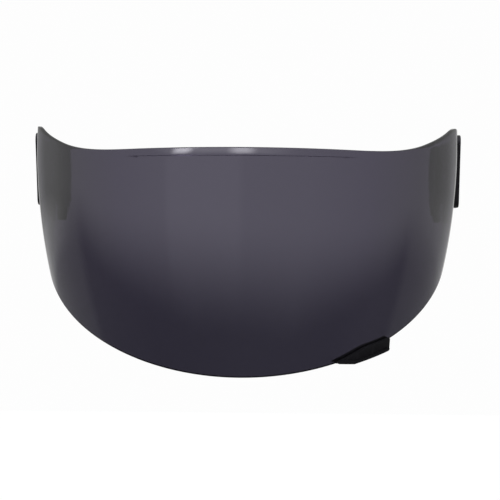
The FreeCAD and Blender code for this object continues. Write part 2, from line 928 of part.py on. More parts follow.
def biarc(turn_low, turn_high):
    """Two arcs that follow the spring between two points and keep its tangents."""
    start, start_way = helix_point(turn_low)
    end, end_way = helix_point(turn_high)
    across = end - start
    ways = start_way + end_way
    square = 2 * (start_way.dot(end_way) - 1)
    linear = -2 * across.dot(ways)
    constant = across.dot(across)
    root = math.sqrt(linear * linear - 4 * square * constant)
    reach = min(value for value in roots_of(square, linear, root) if value > 0)
    first_pull = start + start_way * reach
    last_pull = end - end_way * reach
    joint = (first_pull + last_pull) * 0.5
    return [tangent_arc(start, first_pull, joint), tangent_arc(joint, last_pull, end)]


def roots_of(square, linear, root):
    return ((-linear + root) / (2 * square), (-linear - root) / (2 * square))


def build_release_spring():
    quarters = int(round(spring_turns * 4))
    edges = []
    for number in range(quarters):
        edges += biarc(number / 4, (number + 1) / 4)
    start, way = helix_point(0)
    ring = Part.Wire([Part.makeCircle(spring_wire / 2, start, way)])
    return to_release(Part.Wire(edges).makePipeShell([ring], True, False))


def spring_gap():
    """Least distance between one turn of the release spring and the next, wire to wire."""
    steps = 48
    points = [helix_point(number / steps)[0] for number in range(int(spring_turns * steps) + 1)]
    least = spring_length
    for number, point in enumerate(points):
        for other in points[number + steps // 2 :]:
            least = min(least, point.distanceToPoint(other))
    return least - spring_wire


def check_solid(name, shape):
    solids = shape.Solids
    if not shape.isValid() or not solids:
        raise ValueError(name + " is not a valid solid")
    return Part.makeCompound(solids) if len(solids) > 1 else solids[0]


def export(name, shape):
    check_solid(name, shape).exportStep("parts/" + name + ".step")


def build_ear_pieces():
    return {
        "pivot_cover": build_cover(),
        "ratchet_plate": build_ratchet(),
        "pivot_screws": build_pivot_screws(),
        "friction_washer": build_washer(),
        "base_plate": build_base_plate(),
        "detent_spring": build_detent_spring(),
        "release_slider": build_slider(),
        "release_spring": build_release_spring(),
    }


def main():
    os.makedirs("parts", exist_ok=True)
    export("shield", build_shield())
    export("lift_tab", build_lift_tab())
    export("lift_tab_screws", build_lift_screws())
    for name, shape in build_ear_pieces().items():
        export("left_" + name, shape)
        export("right_" + name, shape.mirror(ORIGIN, ALONG_X))
    print("least gap between spring turns: %.2f mm" % spring_gap())


main()
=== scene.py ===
import json
import logging
import math
from collections.abc import Iterator
from contextlib import contextmanager
from dataclasses import dataclass, field
from enum import Enum

import bmesh
import bpy
from mathutils import Matrix, Vector


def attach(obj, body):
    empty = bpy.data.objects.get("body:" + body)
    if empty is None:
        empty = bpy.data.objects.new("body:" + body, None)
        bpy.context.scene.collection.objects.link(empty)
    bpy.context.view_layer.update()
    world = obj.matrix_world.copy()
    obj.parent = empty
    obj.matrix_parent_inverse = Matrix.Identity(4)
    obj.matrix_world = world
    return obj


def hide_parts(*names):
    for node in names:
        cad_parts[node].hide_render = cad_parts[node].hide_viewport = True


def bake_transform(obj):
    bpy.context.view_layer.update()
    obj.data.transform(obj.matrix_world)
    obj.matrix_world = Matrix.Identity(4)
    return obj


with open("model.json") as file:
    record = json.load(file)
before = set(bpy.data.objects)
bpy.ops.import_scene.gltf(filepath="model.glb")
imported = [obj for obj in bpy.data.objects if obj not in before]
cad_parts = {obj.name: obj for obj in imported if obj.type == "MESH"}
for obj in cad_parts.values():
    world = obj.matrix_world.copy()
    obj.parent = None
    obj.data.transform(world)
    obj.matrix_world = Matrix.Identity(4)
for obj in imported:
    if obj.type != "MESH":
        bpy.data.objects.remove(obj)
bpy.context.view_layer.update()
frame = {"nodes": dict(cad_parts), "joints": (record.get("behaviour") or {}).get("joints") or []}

MM = 0.001
SAME_POINT = 0.001
BROKEN_EDGE = "broken_edge"
LOG = logging.getLogger("visor")

BMesh = bmesh.types.BMesh
Material = bpy.types.Material
Mesh = bpy.types.Mesh
Node = bpy.types.Node
Object = bpy.types.Object
Socket = bpy.types.NodeSocket
Tree = bpy.types.NodeTree
Pair = tuple[float, float]
Triple = tuple[float, float, float]
Colour = tuple[float, float, float, float]
Levels = tuple[Pair, ...]


class Side(Enum):
    """The two ears of the shield, by the sign of X."""

    LEFT = 1
    RIGHT = -1

    @property
    def prefix(self) -> str:
        """Start of the names of the nodes at this ear."""
        return self.name.lower() + "_"


# Shapes


@dataclass(frozen=True)
class SweptSurface:
    """The shield's surface: one vertical arc swept along a plan of arcs, leaning back."""

    half_width: float = 123.0
    reach: float = 150.0
    front_radius: float = 125.0
    front_half_angle: float = 50.0
    profile_radius: float = 350.0
    lean: float = 10.0
    equator_height: float = 13.3

    @property
    def turn(self) -> float:
        """Half angle of the plan's front arc in radians."""
        return math.radians(self.front_half_angle)

    @property
    def side_radius(self) -> float:
        """Radius of the plan's second arc, which ends square to the pivot axis."""
        left_over = self.half_width - self.front_radius * math.sin(self.turn)
        return left_over / (1 - math.sin(self.turn))

    @property
    def front_run(self) -> float:
        """Length of half the front arc."""
        return self.front_radius * self.turn

    @property
    def side_run(self) -> float:
        """Length of the second arc."""
        return self.side_radius * (math.pi / 2 - self.turn)

    @property
    def side_centre(self) -> Pair:
        """Centre of the second arc in plan, at the left ear."""
        offset = self.front_radius - self.side_radius
        y = self.front_radius - self.reach - offset * math.cos(self.turn)
        return offset * math.sin(self.turn), y

    def plan(self, run: float) -> Triple:
        """The plan's line at a distance from its middle.

        Args:
            run: distance along the line in mm, negative towards the right ear.

        Returns:
            X and Y of the point in mm, and the heading of its outward normal in radians.
        """
        way = abs(run)
        sign = -1.0 if run < 0 else 1.0
        if way <= self.front_run:
            heading = way / self.front_radius
            x = self.front_radius * math.sin(heading)
            y = self.front_radius - self.reach - self.front_radius * math.cos(heading)
        elif way <= self.front_run + self.side_run:
            heading = self.turn + (way - self.front_run) / self.side_radius
            centre_x, centre_y = self.side_centre
            x = centre_x + self.side_radius * math.sin(heading)
            y = centre_y - self.side_radius * math.cos(heading)
        else:
            heading = math.pi / 2
            x = self.half_width
            y = self.side_centre[1] + way - self.front_run - self.side_run
        return sign * x, y, sign * heading

    def point(self, run: float, slope: float, grow: float) -> Vector:
        """A point on or beside the surface.

        Args:
            run: distance along the plan's line in mm.
            slope: angle up the vertical arc in radians.
            grow: distance outside the surface in mm.

        Returns:
            The point in mm, in the part's frame.
        """
        x, y, heading = self.plan(run)
        radius = self.profile_radius + grow
        inwards = self.profile_radius - radius * math.cos(slope)
        height = radius * math.sin(slope)
        upright = Vector((x - math.sin(heading) * inwards, y + math.cos(heading) * inwards, height))
        leaning = Matrix.Rotation(-math.radians(self.lean), 3, "X") @ upright
        return leaning + Vector((0.0, 0.0, self.equator_height))


def tangent_point(radius: float, point: Pair, turn: int) -> Pair:
    """Where a line from a side-view point touches a circle about the pivot.

    Args:
        radius: the circle's radius in mm.
        point: Y and Z of the point in mm.
        turn: 1 or -1, for one or the other of the two lines that touch.

    Returns:
        Y and Z of the place in mm.
    """
    angle = math.atan2(point[1], point[0]) + turn * math.acos(radius / math.hypot(*point))
    return radius * math.cos(angle), radius * math.sin(angle)


def smooth_step(low: float, high: float, value: float) -> float:
    """Rises from 0 at low to 1 at high without corners, or falls if low is above high."""
    share = min(max((value - low) / (high - low), 0.0), 1.0)
    return share * share * (3 - 2 * share)


@dataclass(frozen=True)
class RoundedCorner:
    """A corner of a side-view outline, given by three points, with an arc in it."""

    before: Pair
    corner: Pair
    after: Pair
    radius: float

    @property
    def ways(self) -> tuple[Vector, Vector]:
        """Unit vectors from the corner to the points before and after it."""
        at = Vector(self.corner)
        return (Vector(self.before) - at).normalized(), (Vector(self.after) - at).normalized()

    @property
    def half_angle(self) -> float:
        """Half the angle between the corner's two lines in radians."""
        first, second = self.ways
        return first.angle(second) / 2

    @property
    def centre(self) -> Vector:
        """Centre of the arc."""
        first, second = self.ways
        return Vector(self.corner) + (first + second).normalized() * (self.radius / math.sin(self.half_angle))

    def height(self, y: float) -> float | None:
        """Height of the arc.

        Args:
            y: Y in side view in mm.

        Returns:
            The height in mm, or None where the arc doesn't reach that Y.
        """
        at = Vector(self.corner)
        first, second = self.ways
        length = self.radius / math.tan(self.half_angle)
        if not (at + second * length).x <= y <= (at + first * length).x:
            return None
        centre = self.centre
        rise = math.sqrt(max(self.radius ** 2 - (y - centre.x) ** 2, 0.0))
        return centre.y + math.copysign(rise, at.y - centre.y)


@dataclass(frozen=True)
class SideOutline:
    """The shield's outline in side view: an ear circle, two corners above and one below."""

    ear_radius: float = 22.3
    temple: Pair = (-58.0, 24.6)
    temple_round: float = 60.0
    brow: Pair = (-117.0, 6.4)
    brow_round: float = 115.0
    front: Pair = (-156.0, 7.8)
    chin: Pair = (-141.0, -114.9)
    bulge: float = 0.6

    @staticmethod
    def line_height(start: Pair, end: Pair, y: float) -> float:
        """Height at Y of the line through two side-view points."""
        return start[1] + (end[1] - start[1]) * (y - start[0]) / (end[0] - start[0])

    def top(self, y: float) -> float:
        """Height of the upper outline.

        Args:
            y: Y in side view in mm.

        Returns:
            The height in mm.
        """
        if y > self.ear_radius:
            return -math.inf
        start = tangent_point(self.ear_radius, self.temple, -1)
        if y >= start[0]:
            return math.sqrt(self.ear_radius ** 2 - y ** 2)
        for corner in (RoundedCorner(start, self.temple, self.brow, self.temple_round),
                       RoundedCorner(self.temple, self.brow, self.front, self.brow_round)):
            height = corner.height(y)
            if height is not None:
                return height
        if y > self.temple[0]:
            return self.line_height(start, self.temple, y)
        if y > self.brow[0]:
            return self.line_height(self.temple, self.brow, y)
        return self.line_height(self.brow, self.front, y)

    def bottom(self, y: float) -> float:
        """Height of the lower outline.

        Args:
            y: Y in side view in mm.

        Returns:
            The height in mm.
        """
        if y > self.ear_radius:
            return math.inf
        start = tangent_point(self.ear_radius, self.chin, 1)
        if y >= start[0]:
            return -math.sqrt(self.ear_radius ** 2 - y ** 2)
        height = self.line_height(start, self.chin, y)
        share = (start[0] - y) / (start[0] - self.chin[0])
        slope = math.atan2(start[1] - self.chin[1], start[0] - self.chin[0])
        return height - 4 * self.bulge * max(share * (1 - share), 0.0) / math.cos(slope)


@dataclass(frozen=True)
class EarSizes:
    """What is cut into and built onto the shield at each ear."""

    pad_face: float = 122.0
    pad_back: float = 119.0
    seat_back: float = 120.2
    pad_radius: float = 18.6
    hub_radius: float = 13.0
    hub_sides: int = 128
    recess_margin: float = 0.4
    screw_circle: float = 15.6
    screw_angles: tuple[float, ...] = (30.0, 150.0, 270.0)
    screw_hole: float = 1.15
    screw_sides: int = 32
    cover_radius: float = 20.3
    cover_top: Pair = (-32.0, 22.4)
    cover_top_round: float = 4.0
    cover_bottom: Pair = (-19.0, -20.4)
    cover_bottom_round: float = 5.0
    overrun: float = 6.0
    sink: float = 0.01


def linked_object(name: str, data: bpy.types.ID) -> Object:
    """Makes an object in the scene.

    Args:
        name: its name.
        data: its mesh, lamp or camera.

    Returns:
        The object.
    """
    made = bpy.data.objects.new(name, data)
    bpy.context.scene.collection.objects.link(made)
    return made


def object_from(bm: BMesh, name: str) -> Object:
    """A new object that holds the mesh.

    Args:
        bm: the mesh, in metres, which is freed.
        name: name of the object and its mesh.

    Returns:
        The object, linked to the scene.
    """
    mesh = bpy.data.meshes.new(name)
    bm.to_mesh(mesh)
    bm.free()
    return linked_object(name, mesh)


@contextmanager
def edited(mesh: Mesh) -> Iterator[BMesh]:
    """Opens a mesh for bmesh operators and writes it back after them.

    Args:
        mesh: the mesh.

    Yields:
        What the operators work on.
    """
    bm = bmesh.new()
    bm.from_mesh(mesh)
    yield bm
    bm.to_mesh(mesh)
    bm.free()


def merged_copy(node: str, weld: float = SAME_POINT, mirror: bool = False) -> BMesh:
    """A copy of a CAD node's mesh with its faces joined.

    Args:
        node: the node's name.
        weld: distance in mm under which points are made one.
        mirror: whether the copy is the mirror image, for the other ear.

    Returns:
        The mesh, in metres.
    """
    bm = bmesh.new()
    bm.from_mesh(frame["nodes"][node].data)
    if mirror:
        bmesh.ops.scale(bm, vec=Vector((-1.0, 1.0, 1.0)), verts=bm.verts)
        bmesh.ops.reverse_faces(bm, faces=bm.faces)
    bmesh.ops.remove_doubles(bm, verts=bm.verts, dist=weld * MM)
    return bm


def absorb(whole: BMesh, part: BMesh) -> None:
    """Adds one mesh to another.

    Args:
        whole: the mesh that grows.
        part: the mesh that is added, and freed.
    """
    mesh = bpy.data.meshes.new("part")
    part.to_mesh(mesh)
    part.free()
    whole.from_mesh(mesh)
    bpy.data.meshes.remove(mesh)


def disc(radius: float, low: float, high: float, centre: Vector, sides: int = 96) -> BMesh:
    """A solid disc about an axis along X.

    Args:
        radius: its radius in mm.
        low: X of its lower face in mm.
        high: X of its upper face in mm.
        centre: Y and Z of its axis in mm.
        sides: number of sides of its circle.

    Returns:
        The mesh in mm.
    """
    bm = bmesh.new()
    bmesh.ops.create_cone(bm, cap_ends=True, segments=sides, radius1=radius, radius2=radius,
                          depth=high - low)
    bmesh.ops.rotate(bm, verts=bm.verts, cent=Vector(), matrix=Matrix.Rotation(math.pi / 2, 3, "Y"))
    bmesh.ops.translate(bm, verts=bm.verts, vec=Vector(((low + high) / 2, centre.x, centre.y)))
    return bm


def mirrored_pair(parts: list[BMesh]) -> BMesh:
    """Joins solids and their mirror images at the other ear.

    Args:
        parts: meshes in mm at the left ear, which are freed.

    Returns:
        One mesh, in metres.
    """
    both = bmesh.new()
    for part in parts:
        for side in Side:
            copy = part.copy()
            bmesh.ops.scale(copy, vec=Vector((side.value, 1.0, 1.0)) * MM, verts=copy.verts)
            bmesh.ops.recalc_face_normals(copy, faces=copy.faces)
            absorb(both, copy)
        part.free()
    return both


def shade(mesh: Mesh, sharp_angle: float) -> None:
    """Shades a mesh smooth except at its sharp edges.

    Args:
        mesh: the mesh.
        sharp_angle: angle in degrees over which an edge stays sharp.
    """
    limit = math.radians(sharp_angle)
    with edited(mesh) as bm:
        for face in bm.faces:
            face.smooth = True
        for edge in bm.edges:
            edge.smooth = not (edge.is_manifold and edge.calc_face_angle(0.0) > limit)


def settle(made: Object) -> None:
    """Applies an object's modifiers to its mesh.

    Args:
        made: the object.
    """
    graph = bpy.context.evaluated_depsgraph_get()
    mesh = bpy.data.meshes.new_from_object(made.evaluated_get(graph), depsgraph=graph)
    old = made.data
    made.modifiers.clear()
    made.data = mesh
    bpy.data.meshes.remove(old)
    mesh.name = made.name


def unfold(mesh: Mesh, weld: float = 0.00002, rounds: int = 8) -> None:
    """Welds points that coincide, and dissolves those where two faces would split off one sliver.

    Args:
        mesh: the mesh to mend.
        weld: distance in mm under which points are made one.
        rounds: how often it looks again for such slivers.
    """
    with edited(mesh) as bm:
        bmesh.ops.remove_doubles(bm, verts=bm.verts, dist=weld * MM)
    for _ in range(rounds):
        mesh.calc_loop_triangles()
        seen: set[frozenset[int]] = set()
        folded: set[int] = set()
        for triangle in mesh.loop_triangles:
            corners = frozenset(triangle.vertices)
            if corners in seen:
                folded |= corners
            seen.add(corners)
        if not folded:
            return
        with edited(mesh) as bm:
            bm.verts.ensure_lookup_table()
            points = [bm.verts[index] for index in sorted(folded)]
            points = [point for point in points if len(point.link_edges) == 2]
            bmesh.ops.dissolve_verts(bm, verts=points)
        LOG.info("%s: slivers mended", mesh.name)


@dataclass
class ShieldLens:
    """The smoked shield with its top lip and its ear pads."""

    surface: SweptSurface = field(default_factory=SweptSurface)
    outline: SideOutline = field(default_factory=SideOutline)
    ear: EarSizes = field(default_factory=EarSizes)
    wall: float = 2.0
    edge_round: float = 0.35
    lip_height: float = 0.9
    lip_low: float = 3.1
    lip_fade_start: float = 36.0
    lip_fade_end: float = 66.0
    lip_round: float = 0.8
    lip_foot: float = 0.12
    lip_crown: float = 0.8
    lip_bow: float = 1.2
    narrow_share: float = 0.3
    front_columns: int = 60
    side_columns: int = 44
    ear_columns: int = 14
    rear_columns: int = 22
    body_rows: int = 70
    inner_rows: int = 48
    corner_steps: int = 4
    foot_steps: int = 4
    lip_rows: int = 9
    rear_share: float = 0.985
    low_height: float = -175.0
    high_height: float = 32.0
    middle_fall: float = 0.44
    halvings: int = 44
    weld: float = 0.0005
    flat_angle: float = 0.5
    sharp_angle: float = 32.0

    def columns(self) -> list[float]:
        """Spaces the columns of the left half.

        Returns:
            Their distances along the plan's line in mm, from the middle to the ear's rear.
        """
        surface = self.surface
        front, side = surface.front_run, surface.side_run
        straight = surface.equator_height * math.sin(math.radians(surface.lean)) - surface.side_centre[1]
        spans = (
            (0.0, front, self.front_columns),
            (front, side, self.side_columns),
            (front + side, straight, self.ear_columns),
        )
        runs = [start + length * step / count for start, length, count in spans for step in range(count)]
        for step in range(self.rear_columns + 1):
            angle = math.pi / 2 * self.rear_share * step / self.rear_columns
            runs.append(front + side + straight + self.outline.ear_radius * math.sin(angle))
        return runs

    def middle_slope(self, run: float) -> float:
        """Finds an angle up the vertical arc that is inside the outline.

        Args:
            run: the column's distance along the plan's line in mm.

        Returns:
            The angle in radians.
        """
        lean = math.radians(self.surface.lean)
        y = self.surface.plan(run)[1]
        from_pivot = y - self.surface.equator_height * math.sin(lean)
        height = self.middle_fall * min(from_pivot, 0.0) - self.surface.equator_height * math.cos(lean)
        return math.asin(height / self.surface.profile_radius)

    def edge_slope(self, run: float, grow: float, upper: bool) -> float:
        """Angle up the vertical arc at which a column meets the outline.

        Args:
            run: the column's distance along the plan's line in mm.
            grow: distance outside the surface in mm.
            upper: True for the top edge, False for the lower edge.

        Returns:
            The angle in radians.
        """
        inside = self.middle_slope(run)
        height = self.high_height if upper else self.low_height
        outside = math.asin(height / self.surface.profile_radius)
        for _ in range(self.halvings):
            middle = (inside + outside) / 2
            at = self.surface.point(run, middle, grow)
            if at.z > self.outline.top(at.y) if upper else at.z < self.outline.bottom(at.y):
                outside = middle
            else:
                inside = middle
        return inside

    def section(self, run: float) -> list[Vector]:
        """The wall's closed cross-section at one column, from the lower edge round by the outside.

        Args:
            run: the column's distance along the plan's line in mm.

        Returns:
            Its points in mm, with the first one given again at the end.
        """
        tops = [self.edge_slope(run, grow, True) for grow in (0.0, -self.wall)]
        lows = [self.edge_slope(run, grow, False) for grow in (0.0, -self.wall)]
        radius = self.surface.profile_radius

        def place(grow: float, from_top: float = 0.0, from_low: float | None = None) -> Vector:
            """Places a point of the section.

            Args:
                grow: distance outside the surface in mm.
                from_top: distance from the top edge in mm.
                from_low: distance from the lower edge in mm, if it is measured from there.

            Returns:
                The point in mm.
            """
            share = -grow / self.wall
            if from_low is None:
                slope = tops[0] + (tops[1] - tops[0]) * share - from_top / radius
            else:
                slope = lows[0] + (lows[1] - lows[0]) * share + from_low / radius
            return self.surface.point(run, slope, grow)

        most = (tops[0] - lows[0]) * radius * self.narrow_share
        edge = min(self.edge_round, most)
        fade = smooth_step(self.lip_fade_end, self.lip_fade_start, abs(self.surface.plan(run)[0]))
        lip = self.lip_height * fade
        width = min(max(place(0.0).z - self.lip_low, 3 * edge), most)
        top_round = edge + (self.lip_round - edge) * fade
        foot = min(self.lip_foot, width * self.narrow_share)
        angles = [math.pi / 2 * step / self.corner_steps for step in range(self.corner_steps + 1)]
        quarter = [(math.cos(angle), math.sin(angle)) for angle in angles]

        def body(start: float, end: float, rows: int, grow: float) -> list[Vector]:
            """The points between two angles, without the ends."""
            slopes = [start + (end - start) * step / rows for step in range(1, rows)]
            return [self.surface.point(run, slope, grow) for slope in slopes]

        points = [place(edge * (rise - 1), from_low=edge * (1 - across)) for across, rise in quarter]
        points += body(lows[0] + edge / radius, tops[0] - (width + foot) / radius, self.body_rows, 0.0)
        for step in range(self.foot_steps + 1):
            share = step / self.foot_steps
            points.append(place(lip * smooth_step(0.0, 1.0, share), from_top=width + foot * (1 - 2 * share)))
        low = width - foot
        for step in range(1, self.lip_rows):
            share = step / self.lip_rows
            fall = self.lip_crown * fade * share ** self.lip_bow
            points.append(place(lip - fall, from_top=low + (top_round - low) * share))
        crest = lip - self.lip_crown * fade
        for across, rise in quarter:
            points.append(place(crest - top_round * (1 - across), from_top=top_round * (1 - rise)))
        for across, rise in quarter:
            points.append(place(edge * (1 - rise) - self.wall, from_top=edge * (1 - across)))
        points += body(tops[1] - edge / radius, lows[1] + edge / radius, self.inner_rows, -self.wall)
        for across, rise in quarter:
            points.append(place(edge * (1 - across) - self.wall, from_low=edge * (1 - rise)))
        return points + [points[0].copy()]

    def shell(self) -> Object:
        """Makes the wall with its lip and rounded edges, before the ears are finished.

        Returns:
            The object.
        """
        half = self.columns()
        runs = [-run for run in reversed(half[1:])] + half
        sections = [self.section(run) for run in runs]
        loop = len(sections[0])
        bm = bmesh.new()
        bmesh.ops.create_grid(bm, x_segments=len(runs) - 1, y_segments=loop - 1, size=0.5)
        for vert in bm.verts:
            column = round((vert.co.x + 0.5) * (len(runs) - 1))
            row = round((vert.co.y + 0.5) * (loop - 1))
            vert.co = sections[column][row] * MM
        bmesh.ops.remove_doubles(bm, verts=bm.verts, dist=self.weld * MM)
        bmesh.ops.holes_fill(bm, edges=bm.edges)
        bmesh.ops.recalc_face_normals(bm, faces=bm.faces)
        return object_from(bm, "smoked_shield")

    def cover_prism(self, grow: float, low: float, high: float) -> BMesh:
        """A solid with the pivot cover's outline.

        Args:
            grow: distance that the outline is moved outwards in mm.
            low: X of its inner face in mm.
            high: X of its outer face in mm.

        Returns:
            The mesh in mm, at the left ear.
        """
        ear = self.ear
        rear_top = tangent_point(ear.cover_radius, ear.cover_top, -1)
        rear_bottom = tangent_point(ear.cover_radius, ear.cover_bottom, 1)
        corners = (
            RoundedCorner(rear_top, ear.cover_top, ear.cover_bottom, ear.cover_top_round),
            RoundedCorner(ear.cover_top, ear.cover_bottom, rear_bottom, ear.cover_bottom_round),
        )
        bm = bmesh.new()
        absorb(bm, disc(ear.cover_radius + grow, low, high, Vector((0.0, 0.0))))
        for corner in corners:
            absorb(bm, disc(corner.radius + grow, low, high, corner.centre))
        hull = bmesh.ops.convex_hull(bm, input=bm.verts)
        spare = dict.fromkeys(hull["geom_interior"] + hull["geom_unused"])
        spare = [item for item in spare if isinstance(item, bmesh.types.BMVert)]
        bmesh.ops.delete(bm, geom=spare, context="VERTS")
        limit = math.radians(self.flat_angle)
        bmesh.ops.dissolve_limit(bm, angle_limit=limit, verts=bm.verts, edges=bm.edges)
        bmesh.ops.recalc_face_normals(bm, faces=bm.faces)
        return bm

    def tools(self) -> list[tuple[str, BMesh]]:
        """Makes the solids that are cut from or joined to the wall at both ears.

        Returns:
            Pairs of operation and mesh in metres, in their order.
        """
        ear = self.ear
        middle = Vector((0.0, 0.0))
        far = ear.pad_face + ear.overrun
        near = ear.pad_back - ear.overrun
        holes = [disc(ear.hub_radius, near, far, middle, ear.hub_sides)]
        for angle in ear.screw_angles:
            turn = math.radians(angle)
            centre = Vector((math.cos(turn), math.sin(turn))) * ear.screw_circle
            holes.append(disc(ear.screw_hole, near, far, centre, ear.screw_sides))
        pad = disc(ear.pad_radius, ear.pad_back, ear.seat_back + ear.sink, middle, ear.hub_sides)
        steps = [
            ("DIFFERENCE", [self.cover_prism(ear.recess_margin, ear.pad_face, far)]),
            ("UNION", [self.cover_prism(0.0, ear.seat_back, ear.pad_face - ear.sink)]),
            ("UNION", [pad]),
            ("DIFFERENCE", holes),
        ]
        return [(operation, mirrored_pair(parts)) for operation, parts in steps]

    def build(self) -> Object:
        """Builds the shield.

        Returns:
            The finished object, which stands for the node of the same kind.
        """
        lens = self.shell()
        helpers = []
        for operation, bm in self.tools():
            helper = object_from(bm, "cutter")
            helpers.append(helper)
            modifier = lens.modifiers.new("ear", "BOOLEAN")
            modifier.operation = operation
            modifier.solver = "MANIFOLD"
            modifier.object = helper
        settle(lens)
        for helper in helpers:
            mesh = helper.data
            bpy.data.objects.remove(helper)
            bpy.data.meshes.remove(mesh)
        shade(lens.data, self.sharp_angle)
        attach(lens, "visor")
        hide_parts("shield")
        return lens


@dataclass
class RoundedCopy:
    """A moulded or machined piece with its sharp edges broken, which stands for its node.

    The right ratchet plate is made from the left one's mirror image, since it keeps the full width.
    """

    node: str
    body: str
    slot: str
    width: float = 0.2
    segments: int = 2
    angle: float = 35.0
    dissolve: float = 0.4
    weld: float = 0.02
    mirror_of: str | None = None

    def build(self) -> Object:
        """Builds the piece from its node's mesh, or from the mirror image of another's.

        Returns:
            The finished object.
        """
        bm = merged_copy(self.mirror_of or self.node, self.weld, mirror=self.mirror_of is not None)
        limit = math.radians(self.dissolve)
        bmesh.ops.dissolve_limit(bm, angle_limit=limit, verts=bm.verts, edges=bm.edges)
        made = object_from(bm, self.node + "_finished")
        modifier = made.modifiers.new("broken edges", "BEVEL")
        modifier.width = self.width * MM
        modifier.segments = self.segments
        modifier.limit_method = "ANGLE"
        modifier.angle_limit = math.radians(self.angle)
        modifier.harden_normals = True
        modifier.use_clamp_overlap = True
        modifier.material = 1
        made.data.materials.append(None)
        made.data.materials.append(None)
        settle(made)
        unfold(made.data)
        edges = made.data.attributes.new(BROKEN_EDGE, "FLOAT", "FACE")
        for face in made.data.polygons:
            edges.data[face.index].value = float(face.material_index)
        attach(made, self.body)
        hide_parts(self.node)
        return made


@dataclass(frozen=True)
class ReleaseSpring:
    """A coil between the base plate and the slider, kept as its node has it; the real one shortens as the
    slider comes out.
    """

    side: Side

    def build(self) -> Object:
        """Builds the spring from its node's mesh.

        Returns:
            The finished object.
        """
        node = self.side.prefix + "release_spring"
        made = object_from(merged_copy(node), node + "_finished")
        joint = next(row for row in frame["joints"] if row["name"] == self.side.prefix + "release_slide")
        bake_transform(made)
        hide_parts(node)
        return made


# Finishes


class Graph:
    """A node tree with short calls that add and join nodes."""

    def __init__(self, tree: Tree) -> None:
        """Takes the tree and empties it."""
        self.tree = tree
        tree.nodes.clear()

    def add(self, kind: str, inputs: dict[str | int, object] | None = None, **settings: object) -> Node:
        """Adds a node.

        Args:
            kind: the node's kind.
            inputs: values or links by the names or numbers of its inputs.
            settings: its settings.

        Returns:
            The node.
        """
        node = self.tree.nodes.new(kind)
        for name, value in settings.items():
            setattr(node, name, value)
        for key, value in (inputs or {}).items():
            self.feed(node.inputs[key], value)
        return node

    def feed(self, socket: Socket, value: object) -> None:
        """Fills an input.

        Args:
            socket: the input.
            value: its value, or another node's output to link it to.
        """
        if isinstance(value, Socket):
            self.tree.links.new(value, socket)
        else:
            socket.default_value = value

    def group(self, tree: Tree, **values: object) -> Socket:
        """Places a shared group with its inputs by name, and gives its one output."""
        return self.add("ShaderNodeGroup", values, node_tree=tree).outputs[0]

    def place(self) -> Socket:
        """Object coordinates."""
        return self.add("ShaderNodeTexCoord").outputs["Object"]

    def split(self, vector: Socket) -> list[Socket]:
        """X, Y and Z of a vector."""
        return list(self.add("ShaderNodeSeparateXYZ", {0: vector}).outputs)

    def math(self, operation: str, *values: object) -> Socket:
        """One Math node."""
        return self.add("ShaderNodeMath", dict(enumerate(values)), operation=operation).outputs[0]

    def plus(self, first: object, second: object) -> Socket:
        """The sum of two values."""
        return self.math("ADD", first, second)

    def minus(self, first: object, second: object) -> Socket:
        """The first value less the second."""
        return self.math("SUBTRACT", first, second)

    def times(self, first: object, second: object) -> Socket:
        """The product of two values."""
        return self.math("MULTIPLY", first, second)

    def remap(self, value: object, low: object, high: object, to_low: object = 0.0,
              to_high: object = 1.0, smooth: bool = False) -> Socket:
        """Maps a range of values to another, held at its ends.

        Args:
            value: the value.
            low: where the range starts.
            high: where the range ends.
            to_low: the result at its start.
            to_high: the result at its end.
            smooth: whether the result bends softly at both ends.

        Returns:
            The result.
        """
        inputs = {"Value": value, "From Min": low, "From Max": high, "To Min": to_low, "To Max": to_high}
        kind = "SMOOTHSTEP" if smooth else "LINEAR"
        return self.add("ShaderNodeMapRange", inputs, interpolation_type=kind, clamp=True).outputs["Result"]

    def mix(self, share: object, first: object, second: object) -> Socket:
        """Mixes two colours."""
        return self.add("ShaderNodeMix", {"Factor": share, 6: first, 7: second}, data_type="RGBA").outputs[2]

    def scaled(self, colour: object, level: object) -> Socket:
        """A colour times a level."""
        return self.add("ShaderNodeVectorMath", {0: colour, "Scale": level}, operation="SCALE").outputs[0]

    def levels(self, value: object, stops: Levels) -> Socket:
        """Runs straight lines between pairs of value and level, held at both ends.

        Args:
            value: the value.
            stops: the pairs in their order.

        Returns:
            The level.
        """
        total = None
        for (start, first), (end, second) in zip(stops, stops[1:]):
            step = self.remap(value, start, end, 0.0, second - first)
            total = self.plus(step, first if total is None else total)
        return total

    def noise(self, vector: object, scale: object, detail: float = 2.0, roughness: float = 0.5) -> Socket:
        """A noise value."""
        inputs = {"Vector": vector, "Scale": scale, "Detail": detail, "Roughness": roughness}
        return self.add("ShaderNodeTexNoise", inputs).outputs["Fac"]

    def bump(self, height: Socket, depth: float, strength: float) -> Socket:
        """The normal of a height that is so many mm deep."""
        inputs = {"Height": height, "Distance": depth * MM, "Strength": strength}
        return self.add("ShaderNodeBump", inputs).outputs["Normal"]

    def shader(self, inputs: dict[str, object]) -> None:
        """Ends a material's graph with a Principled shader that has these inputs."""
        shader = self.add("ShaderNodeBsdfPrincipled", inputs)
        self.add("ShaderNodeOutputMaterial", {"Surface": shader.outputs["BSDF"]})

    def stretched(self, vector: object, scale: Triple) -> Socket:
        """The vector scaled along each axis."""
        return self.add("ShaderNodeMapping", {"Vector": vector, "Scale": scale}).outputs["Vector"]


